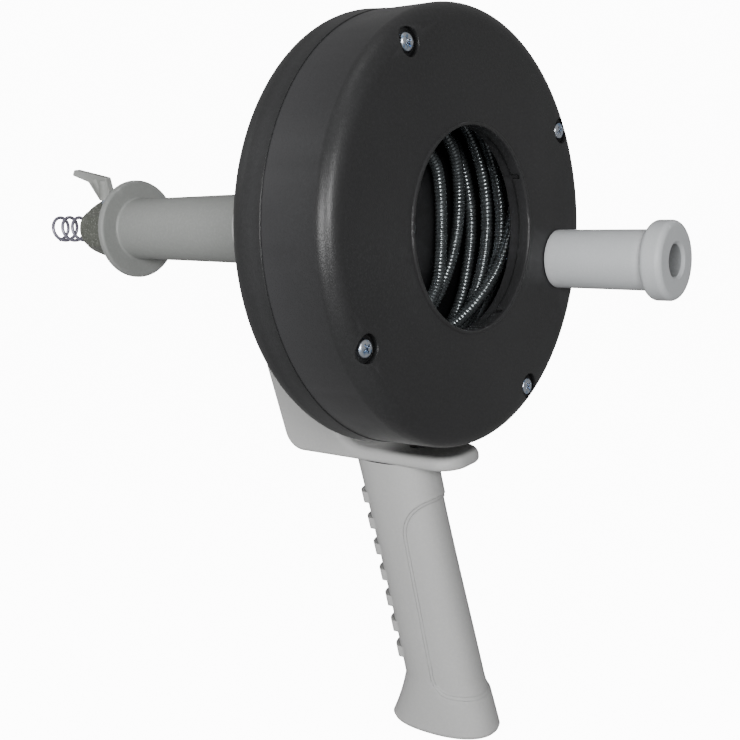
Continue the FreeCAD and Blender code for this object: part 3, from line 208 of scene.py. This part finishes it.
PLASTIC_WAVE_DEPTH = 0.0006
# Closeness over which the plastics take painted shade in hollows.
PLASTIC_HOLLOW_SHADE_RANGE = (0.2, 0.62)
METAL_CLOUDS = 260.0
METAL_CLOUD_RANGE = (0.35, 0.68)
METAL_FLECK_RANGE = (0.56, 0.66)
METAL_GLOSS = 180.0
METAL_GLOSS_SPREAD = (0.08, 0.12)
METAL_PIT_DEPTH = 0.0002
# Reach and closeness of the painted shade in the metals' hollows.
METAL_HOLLOW_SHADE_REACH = 0.022
METAL_HOLLOW_SHADE_RANGE = (0.12, 0.62)
METAL_SOFTEN = 0.0003
# Pointiness over which the cable's grooves take painted shade.
GROOVE_SHADE_RANGE = (0.44, 0.52)
EDGE_RANGE = (0.52, 0.62)


class Recipe:
    """A procedural material under construction: nodes are added and wired by name."""

    def __init__(self, name):
        self.material = bpy.data.materials.new(name)
        self.material.use_nodes = True
        self.tree = self.material.node_tree
        self.shader = self.tree.nodes["Principled BSDF"]
        self.place = self.node("ShaderNodeTexCoord").outputs["Object"]

    def node(self, kind, **settings):
        made = self.tree.nodes.new(kind)
        for key, value in settings.items():
            setattr(made, key, value)
        return made

    def link(self, source, target):
        self.tree.links.new(source, target)

    def noise(self, scale, detail=2.0, roughness=0.5):
        made = self.node("ShaderNodeTexNoise")
        made.inputs["Scale"].default_value = scale
        made.inputs["Detail"].default_value = detail
        made.inputs["Roughness"].default_value = roughness
        self.link(self.place, made.inputs["Vector"])
        return made.outputs["Fac"]

    def spread(self, source, low, high, to_low=0.0, to_high=1.0):
        made = self.node("ShaderNodeMapRange")
        values = (low, high, to_low, to_high)
        for socket, value in zip(("From Min", "From Max", "To Min", "To Max"), values):
            made.inputs[socket].default_value = value
        self.link(source, made.inputs["Value"])
        return made.outputs["Result"]

    def mix(self, factor, first, second):
        made = self.node("ShaderNodeMix", data_type="RGBA")
        self.link(factor, made.inputs[0])
        for socket, value in ((6, first), (7, second)):
            if isinstance(value, tuple):
                made.inputs[socket].default_value = (*value, 1.0)
            else:
                self.link(value, made.inputs[socket])
        return made.outputs[2]

    def bump(self, layers, soften=None):
        """Stacked bump maps from (height, strength, distance) layers, over softened edges."""
        normal = None
        if soften is not None:
            rounded = self.node("ShaderNodeBevel", samples=BEVEL_SAMPLES)
            rounded.inputs["Radius"].default_value = soften
            normal = rounded.outputs["Normal"]
        for height, strength, distance in layers:
            made = self.node("ShaderNodeBump")
            made.inputs["Strength"].default_value = strength
            made.inputs["Distance"].default_value = distance
            self.link(height, made.inputs["Height"])
            if normal is not None:
                self.link(normal, made.inputs["Normal"])
            normal = made.outputs["Normal"]
        self.link(normal, self.shader.inputs["Normal"])

    def edges(self, low, high):
        """From 0 to 1 as pointiness climbs from low to high; flat is 0.5, hollow less, edges more."""
        geometry = self.node("ShaderNodeNewGeometry")
        return self.spread(geometry.outputs["Pointiness"], low, high)

    def paint_hollow_shade(self, colour, hollow_shade_colour, reach, closed, opened):
        """Painted shade in hollows and narrow gaps, from how closed in the surface is within reach.
        """
        # Ambient occlusion paints shade into the colour where the surface is closed in.
        hollow = self.node("ShaderNodeAmbientOcclusion", samples=HOLLOW_SHADE_SAMPLES)
        hollow.inputs["Distance"].default_value = reach
        return self.mix(self.spread(hollow.outputs["AO"], closed, opened), hollow_shade_colour, colour)


def moulded_plastic(name, colour, shade, roughness, grain, depth, edge_colour, specular=0.4,
                    soften=0.0006, hollow_shade_colour=None, reach=0.018):
    """Moulded plastic: spark-eroded grain, faint flow clouds, lighter worn edges and painted shade in
    hollows.
    """
    recipe = Recipe(name)
    recipe.shader.inputs["Specular IOR Level"].default_value = specular
    clouds = recipe.spread(recipe.noise(PLASTIC_CLOUDS, CLOUD_DETAIL), *PLASTIC_CLOUD_RANGE)
    body = recipe.mix(clouds, colour, shade)
    speckle = recipe.spread(recipe.noise(grain * PLASTIC_SPECKLE_SHARE),
                            *PLASTIC_SPECKLE_RANGE, 0.0, PLASTIC_SPECKLE_MOST)
    body = recipe.mix(speckle, body, edge_colour)
    worn_and_shaded = recipe.mix(recipe.edges(*EDGE_RANGE), body, edge_colour)
    # Painted shade in hollows and under overhangs, darkened into the colour.
    if hollow_shade_colour is not None:
        worn_and_shaded = recipe.paint_hollow_shade(worn_and_shaded, hollow_shade_colour, reach, *PLASTIC_HOLLOW_SHADE_RANGE)
    recipe.link(worn_and_shaded, recipe.shader.inputs["Base Color"])
    gloss = recipe.spread(recipe.noise(PLASTIC_GLOSS, GLOSS_DETAIL), *GLOSS_RANGE,
                          roughness - PLASTIC_GLOSS_SPREAD[0],
                          roughness + PLASTIC_GLOSS_SPREAD[1])
    recipe.link(gloss, recipe.shader.inputs["Roughness"])
    recipe.bump([
        (recipe.noise(grain, GRAIN_DETAIL, GRAIN_ROUGHNESS), PLASTIC_GRAIN_STRENGTH, depth),
        (recipe.noise(PLASTIC_WAVES), PLASTIC_WAVE_STRENGTH, PLASTIC_WAVE_DEPTH),
    ], soften)
    return recipe.material


def plated_metal(name, colour, shade, roughness, grain=900.0, tint=None, fleck=520.0,
                 metallic=1.0, hollow_shade_colour=None, groove=None, pitting=0.25):
    """Plated or cast metal: fine pitting, uneven gloss, clouds of a second shade, painted shade in
    grooves and painted shade in hollows.
    """
    recipe = Recipe(name)
    clouds = recipe.spread(recipe.noise(METAL_CLOUDS, CLOUD_DETAIL), *METAL_CLOUD_RANGE)
    body = recipe.mix(clouds, colour, shade)
    if tint is not None:
        flecks = recipe.spread(recipe.noise(fleck), *METAL_FLECK_RANGE)
        body = recipe.mix(flecks, body, tint)
    # Painted shade in the grooves: the colour darkens where the surface is hollow.
    if groove is not None:
        body = recipe.mix(recipe.edges(*GROOVE_SHADE_RANGE), groove, body)
    # Painted shade in hollows, darkened into the colour.
    if hollow_shade_colour is not None:
        body = recipe.paint_hollow_shade(body, hollow_shade_colour, METAL_HOLLOW_SHADE_REACH, *METAL_HOLLOW_SHADE_RANGE)
    recipe.link(body, recipe.shader.inputs["Base Color"])
    recipe.shader.inputs["Metallic"].default_value = metallic
    gloss = recipe.spread(recipe.noise(METAL_GLOSS, GLOSS_DETAIL), *GLOSS_RANGE,
                          roughness - METAL_GLOSS_SPREAD[0],
                          roughness + METAL_GLOSS_SPREAD[1])
    recipe.link(gloss, recipe.shader.inputs["Roughness"])
    pits = recipe.noise(grain, GRAIN_DETAIL, GRAIN_ROUGHNESS)
    recipe.bump([(pits, pitting, METAL_PIT_DEPTH)], METAL_SOFTEN)
    return recipe.material


def gray_plastics():
    """The bracket and grip, the front sleeve, the knob and the lever, each in its own gray."""
    return {
        # The bracket's colour is darkened with painted shade in its hollows and under the drum.
        "handle_gray": moulded_plastic(
            "handle_gray_plastic", colour=(0.35, 0.351, 0.347), shade=(0.37, 0.371, 0.367),
            roughness=0.5, grain=1800.0, depth=0.0002, edge_colour=(0.46, 0.46, 0.456),
            soften=0.0013, hollow_shade_colour=(0.02, 0.02, 0.0195)),
        "sleeve_gray": moulded_plastic(
            "sleeve_gray_plastic", colour=(0.215, 0.222, 0.214), shade=(0.235, 0.242, 0.234),
            roughness=0.5, grain=1800.0, depth=0.0002, edge_colour=(0.33, 0.335, 0.33)),
        # The knob's colour is darkened with painted shade in its hollows.
        "knob_gray": moulded_plastic(
            "knob_gray_plastic", colour=(0.43, 0.445, 0.455), shade=(0.46, 0.475, 0.485),
            roughness=0.38, grain=2200.0, depth=0.0001, edge_colour=(0.56, 0.57, 0.58),
            hollow_shade_colour=(0.12, 0.123, 0.126)),
        "lever_gray": moulded_plastic(
            "lever_gray_plastic", colour=(0.2, 0.206, 0.195), shade=(0.22, 0.226, 0.215),
            roughness=0.5, grain=1800.0, depth=0.0002, edge_colour=(0.32, 0.326, 0.315)),
    }


def other_plastics():
    """The drum's black, with painted shade in hollows out to 60 mm, and the thrust washers' nylon."""
    return {
        # The drum's black is darkened with painted shade in its hollows and inside the drum.
        "drum_black": moulded_plastic(
            "drum_black_plastic", colour=(0.0178, 0.018, 0.0185), shade=(0.0208, 0.0211, 0.0217),
            roughness=0.36, grain=1500.0, depth=0.0003, edge_colour=(0.036, 0.036, 0.038),
            specular=0.34, soften=0.001, hollow_shade_colour=(0.004, 0.004, 0.0045), reach=0.06),
        "nylon_white": moulded_plastic(
            "nylon_white_plastic", colour=(0.72, 0.72, 0.69), shade=(0.76, 0.76, 0.73),
            roughness=0.45, grain=1800.0, depth=0.0001, edge_colour=(0.8, 0.8, 0.78)),
    }


def fixing_metals():
    """The spindle and its plate, all fixings, the nose nut, bushes, ferrule and clamp pad."""
    return {
        "zinc_steel": plated_metal(
            "bright_zinc", colour=(0.72, 0.76, 0.82), shade=(0.5, 0.55, 0.63), roughness=0.28,
            tint=(0.28, 0.42, 0.62)),
        "dark_steel": plated_metal(
            "black_oxide_steel", colour=(0.05, 0.05, 0.055), shade=(0.08, 0.08, 0.085),
            roughness=0.45),
        "dark_zinc": plated_metal(
            "dull_zinc_casting", colour=(0.13, 0.137, 0.118), shade=(0.165, 0.172, 0.15),
            roughness=0.3, tint=(0.34, 0.35, 0.32), fleck=1100.0, metallic=0.55),
        "sintered_bronze": plated_metal(
            "sintered_bronze", colour=(0.46, 0.31, 0.16), shade=(0.36, 0.24, 0.12),
            roughness=0.5, grain=1400.0),
        "brass_pad": plated_metal(
            "turned_brass", colour=(0.72, 0.55, 0.25), shade=(0.6, 0.45, 0.2), roughness=0.32),
    }


def wire_metals():
    """The oiled cable, with painted shade in its grooves and its hollows, and the bulb's spring wire.
    """
    return {
        # The cable's groove colour and hollow colour are painted shade.
        "cable_steel": plated_metal(
            "oiled_cable_steel", colour=(0.2, 0.22, 0.228), shade=(0.14, 0.155, 0.162),
            roughness=0.23, metallic=0.75, pitting=0.0, hollow_shade_colour=(0.02, 0.023, 0.025),
            groove=(0.004, 0.005, 0.006)),
        "bulb_wire": plated_metal(
            "bright_spring_wire", colour=(0.23, 0.22, 0.275), shade=(0.19, 0.18, 0.23),
            roughness=0.35, metallic=0.4, pitting=0.05),
    }


def make_materials():
    """One material for each of the record's material slots."""
    return {**gray_plastics(), **other_plastics(), **fixing_metals(), **wire_metals()}


def dress_cad_nodes(materials):
    """Give every CAD node the material that the record names for it."""
    for part in frame["record"]["subparts"]:
        node = nodes[part["node"]]
        material = materials[part["material_slot"]]
        node.data.materials.clear()
        node.data.materials.append(material)


# ---- swept wire and cable --------------------------------------------------------------------
# From here on lengths are in millimetres; tube_mesh turns them into metres.
CABLE_R = 3.175
WIRE_PITCH = 1.98
WIRE_GROOVE = 0.62
# Steps along a route: six or five rings to a ridge, and a plain one where ridges are left out.
FINE_STEP = WIRE_PITCH / 6
MIDDLE_STEP = WIRE_PITCH / 5
PLAIN_STEP = 3.0
FINE_SIDES = 12
MIDDLE_SIDES = 10
SPLINE_ORDER = 3
SPLINE_RESOLUTION = 12
NEARLY_PARALLEL = 0.1


def smooth_route(control_points):
    """Points along an open NURBS curve that the control points steer, in mm."""
    data = bpy.data.curves.new("route", "CURVE")
    data.dimensions = "3D"
    spline = data.splines.new("NURBS")
    spline.points.add(len(control_points) - 1)
    for point, place in zip(spline.points, control_points):
        point.co = (*place, 1.0)
    spline.order_u = SPLINE_ORDER
    spline.use_endpoint_u = True
    spline.resolution_u = SPLINE_RESOLUTION
    curve = bpy.data.objects.new("route", data)
    mesh = bpy.data.meshes.new_from_object(curve)
    points = np.array([vertex.co[:] for vertex in mesh.vertices])
    bpy.data.meshes.remove(mesh)
    bpy.data.objects.remove(curve)
    bpy.data.curves.remove(data)
    return points


def even_spacing(points, step):
    """The same route at an even spacing, and the distance of each point along it."""
    lengths = np.linalg.norm(np.diff(points, axis=0), axis=1)
    along = np.concatenate([[0.0], np.cumsum(lengths)])
    count = max(3, int(round(along[-1] / step)) + 1)
    target = np.linspace(0.0, along[-1], count)
    even = np.stack([np.interp(target, along, points[:, k]) for k in range(3)], axis=1)
    return even, target


def carried_frames(points):
    """Two directions square to the route, carried along it without twist."""
    tangents = np.gradient(points, axis=0)
    tangents /= np.linalg.norm(tangents, axis=1)[:, None]
    start = np.cross(tangents[0], (0.0, 0.0, 1.0))
    if np.linalg.norm(start) < NEARLY_PARALLEL:
        start = np.cross(tangents[0], (0.0, 1.0, 0.0))
    first = np.empty_like(points)
    first[0] = start / np.linalg.norm(start)
    for k in range(1, len(points)):
        carried = first[k - 1] - tangents[k] * np.dot(first[k - 1], tangents[k])
        first[k] = carried / np.linalg.norm(carried)
    return first, np.cross(tangents, first)


def tube_mesh(name, points, radii, sides):
    """A capped tube round a route; radii has one row of radii per point."""
    first, second = carried_frames(points)
    angles = np.linspace(0.0, 2 * math.pi, sides, endpoint=False)
    spokes = (first[:, None, :] * np.cos(angles)[None, :, None]
              + second[:, None, :] * np.sin(angles)[None, :, None])
    rings = points[:, None, :] + spokes * radii[:, :, None]
    vertices = (rings.reshape(-1, 3) * MM).tolist()
    count = len(points)
    base = np.arange(count - 1)[:, None] * sides + np.arange(sides)[None, :]
    after = np.arange(count - 1)[:, None] * sides + (np.arange(sides)[None, :] + 1) % sides
    quads = np.stack([base, after, after + sides, base + sides], axis=2).reshape(-1, 4)
    faces = quads.tolist()
    faces.append(list(range(sides))[::-1])
    faces.append([(count - 1) * sides + k for k in range(sides)])
    mesh = bpy.data.meshes.new(name)
    mesh.from_pydata(vertices, [], faces)
    mesh.polygons.foreach_set("use_smooth", [True] * (len(faces) - 2) + [False, False])
    return mesh


def place_piece(name, mesh, material, body):
    mesh.materials.append(material)
    piece = bpy.data.objects.new(name, mesh)
    bpy.context.scene.collection.objects.link(piece)
    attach(piece, body)
    return piece


def wound_radii(along, sides, groove):
    """Radii of a close-wound wire cable: each wire turn is a round ridge, one pitch along."""
    angles = np.arange(sides) / sides
    phase = np.mod(along[:, None] / WIRE_PITCH - angles[None, :], 1.0)
    return CABLE_R - groove * (1.0 - np.sqrt(np.maximum(0.0, 1.0 - (2 * phase - 1.0) ** 2)))


def cable_piece(name, route, step, sides, groove, body, material):
    points, along = even_spacing(route, step)
    mesh = tube_mesh(name, points, wound_radii(along, sides, groove), sides)
    return place_piece(name, mesh, material, body)


# ---- the cable in the drum -------------------------------------------------------------------
# The run from inside the spindle out to the first turn: X, radius, angle from +Y towards +Z.
LEAD = [
    (-70, 0, -122), (-53, 0, -122), (-43, 6, -122), (-38, 19, -116), (-37, 33, -106),
    (-38.5, 45, -91), (-38.6, 53.4, -75), (-36.4, 56.8, -61), (-32.4, 58.2, -47), (-29, 59.2, -36),
    (-24.8, 60.2, -24), (-20.2, 60.6, -8), (-16.4, 61.4, 8), (-15.6, 62, 22), (-15.8, 62.5, 35),
]
# Each inner turn's X and radius at the angles that the photograph shows; from its last to the next
# turn's first the cable drifts across.
SEEN_ANGLES = (-45, -25, -5, 15, 35)
INNER_TURNS = [
    [(-44.0, 71.0), (-29.8, 65.0), (-26.4, 62.6), (-26.4, 62.4), (-25.6, 62.4)],
    [(-37.0, 63.2), (-35.4, 62.2), (-34.6, 62.2), (-33.6, 62.2), (-32.6, 62.4)],
    [(-43.0, 62.8), (-44.7, 62.8), (-44.3, 62.8), (-44.4, 62.8), (-44.0, 63.0)],
    [(-48.8, 51.3), (-48.9, 53.8), (-48.0, 56.2), (-44.8, 56.2), (-40.3, 56.4)],
    [(-45.5, 45.0), (-48.8, 44.5), (-49.0, 43.2), (-48.9, 45.8), (-47.2, 49.0)],
]
TAIL = [(-48.5, 48.4, 70), (-48.5, 48.0, 95), (-48.5, 47.4, 115), (-48.5, 46.4, 132),
        (-48.5, 45.4, 148), (-48.5, 44.6, 162)]
# The turns underneath, outermost first: X and radius. They overlap one another along much of
# their length, because UNDER_RUN_IN brings most of them to the same X.
OUTER_TURNS = [
    (-23, 78.2), (-30, 78.2), (-37, 78.2), (-45, 78.2),
    (-48.8, 73.6), (-42, 73.6), (-33.5, 73.6), (-26.5, 73.6),
]
MIDDLE_TURNS = [(-39, 68.4), (-47.5, 68.4), (-30, 68.6), (-23, 68.6)]
# The turns underneath are kept in front of the run-in: their highest X at the seen angles.
UNDER_RUN_IN = (-44.0, -38.0, -29.0, -23.0, -20.0)
TURN_STEP = 20
# A curve steered by stations this far apart cuts inside them; those past WOUND_FROM_R are moved
# out to make up for it.
SPLINE_GROWTH = 1.0 / math.cos(math.radians(TURN_STEP / 2))
WOUND_FROM_R = CABLE_R * 8
# The turns don't lie perfectly straight: how far they sway and how many times a turn.
SWAY = 0.35
SWAYS_A_TURN = 3
FEED_STATIONS = 20
FEED_SPAN = (-249.0, -70.05)


def round_axis(station):
    x, radius, degrees = station
    angle = math.radians(degrees)
    return (x, radius * math.cos(angle), radius * math.sin(angle))


def drift(first, last, first_angle, last_angle):
    """Stations between two (X, radius) places, easing across from one to the other."""
    stations = []
    angle = first_angle + TURN_STEP
    while angle < last_angle - TURN_STEP / 2:
        share = (angle - first_angle) / (last_angle - first_angle)
        ease = share * share * (3 - 2 * share)
        sway = SWAY * math.sin(math.radians(SWAYS_A_TURN * angle) + first[0])
        stations.append((first[0] + (last[0] - first[0]) * ease + sway,
                         first[1] + (last[1] - first[1]) * ease, angle))
        angle += TURN_STEP
    return stations


def winding_stations():
    """Every turn's stations in order: run-in, outer, middle and inner turns, then the tail."""
    groups = {"run_in": list(LEAD), "outer": [], "middle": [], "inner": []}
    last, angle = LEAD[-1][:2], LEAD[-1][2]
    entry_angle = 360 + SEEN_ANGLES[0]
    for name, turns in (("outer", OUTER_TURNS), ("middle", MIDDLE_TURNS)):
        for x, radius in turns:
            seen = [(min(x, leaning), radius) for leaning in UNDER_RUN_IN]
            groups[name] += drift(last, seen[0], angle, entry_angle)
            groups[name] += [(*place, a) for place, a in zip(seen, SEEN_ANGLES)]
            last, angle = seen[-1], SEEN_ANGLES[-1]
    for turn in INNER_TURNS:
        groups["inner"] += drift(last, turn[0], angle, entry_angle)
        groups["inner"] += [(*place, a) for place, a in zip(turn, SEEN_ANGLES)]
        last, angle = turn[-1], SEEN_ANGLES[-1]
    groups["inner"] += TAIL
    return groups


def winding_routes():
    """The four stretches of one smooth route, each starting where the last one stops."""
    groups = winding_stations()
    corners, stops = [], {}
    for name in ("run_in", "outer", "middle", "inner"):
        for x, radius, angle in groups[name]:
            grow = SPLINE_GROWTH if radius > WOUND_FROM_R else 1.0
            corners.append(round_axis((x, radius * grow, angle)))
        stops[name] = len(corners)
    route = smooth_route(corners)
    per_corner = len(route) / len(corners)
    cuts = [0] + [int(stops[name] * per_corner) for name in stops]
    cuts[-1] = len(route) - 1
    return {name: route[cuts[k]:cuts[k + 1] + 1] for k, name in enumerate(stops)}


def add_cable(material):
    routes = winding_routes()
    run_in = cable_piece("cable_run_in", routes["run_in"], FINE_STEP, FINE_SIDES, WIRE_GROOVE,
                         "drum", material)
    cable_piece("cable_turns_outer", routes["outer"], PLAIN_STEP, MIDDLE_SIDES, 0.0, "drum",
                material)
    cable_piece("cable_turns_middle", routes["middle"], MIDDLE_STEP, MIDDLE_SIDES, WIRE_GROOVE,
                "drum", material)
    inner = cable_piece("cable_turns_inner", routes["inner"], FINE_STEP, FINE_SIDES,
                        WIRE_GROOVE, "drum", material)
    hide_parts("cable_lead")
    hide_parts("cable_coil", "cable_tail")
    straight = np.array([(x, 0.0, 0.0) for x in np.linspace(*FEED_SPAN, FEED_STATIONS)])
    feed = cable_piece("cable_straight", straight, FINE_STEP, FINE_SIDES, WIRE_GROOVE,
                       "cable_end", material)
    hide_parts("cable_feed")


# ---- the open coil at the cable's end --------------------------------------------------------
BULB_WIRE_R = 0.95
BULB_SIDES = 12
BULB_STEPS_A_TURN = 56
# The coil's centre line, from the root to the tip: turns made so far, X and radius.
BULB_STATIONS = [
    (0.0, -249.9, 4.3), (0.5, -253.4, 5.1), (1.0, -258.0, 6.0), (2.0, -266.0, 6.35),
    (3.0, -274.5, 6.5), (4.0, -282.8, 6.4), (4.5, -285.4, 6.2),
]
# The turn at which the wire passes the top, and that place's angle from +Y towards +Z.
BULB_TOP_TURN = 4.0
BULB_TOP_ANGLE = math.radians(90.0)


def add_bulb(material):
    """The open coil: a round wire wound round the axis, its radius and pitch eased along it."""
    turns, xs, radii = (np.array(column, dtype=float) for column in zip(*BULB_STATIONS))
    count = int(turns[-1] * BULB_STEPS_A_TURN)
    made = np.linspace(0.0, turns[-1], count)
    smooth = np.ones(BULB_STEPS_A_TURN // 2) / (BULB_STEPS_A_TURN // 2)
    half = len(smooth) // 2
    x = np.convolve(np.pad(np.interp(made, turns, xs), half, "edge"), smooth, "same")
    radius = np.convolve(np.pad(np.interp(made, turns, radii), half, "edge"), smooth, "same")
    x, radius = x[half:half + count], radius[half:half + count]
    angle = BULB_TOP_ANGLE - 2 * math.pi * (made - BULB_TOP_TURN)
    route = np.stack([x, radius * np.cos(angle), radius * np.sin(angle)], axis=1)
    mesh = tube_mesh("bulb_spring", route, np.full((count, BULB_SIDES), BULB_WIRE_R), BULB_SIDES)
    spring = place_piece("bulb_spring", mesh, material, "cable_end")
    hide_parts("bulb_head")


add_camera()
add_floor()
add_lights()
materials = make_materials()
dress_cad_nodes(materials)
add_cable(materials["cable_steel"])
add_bulb(materials["bulb_wire"])
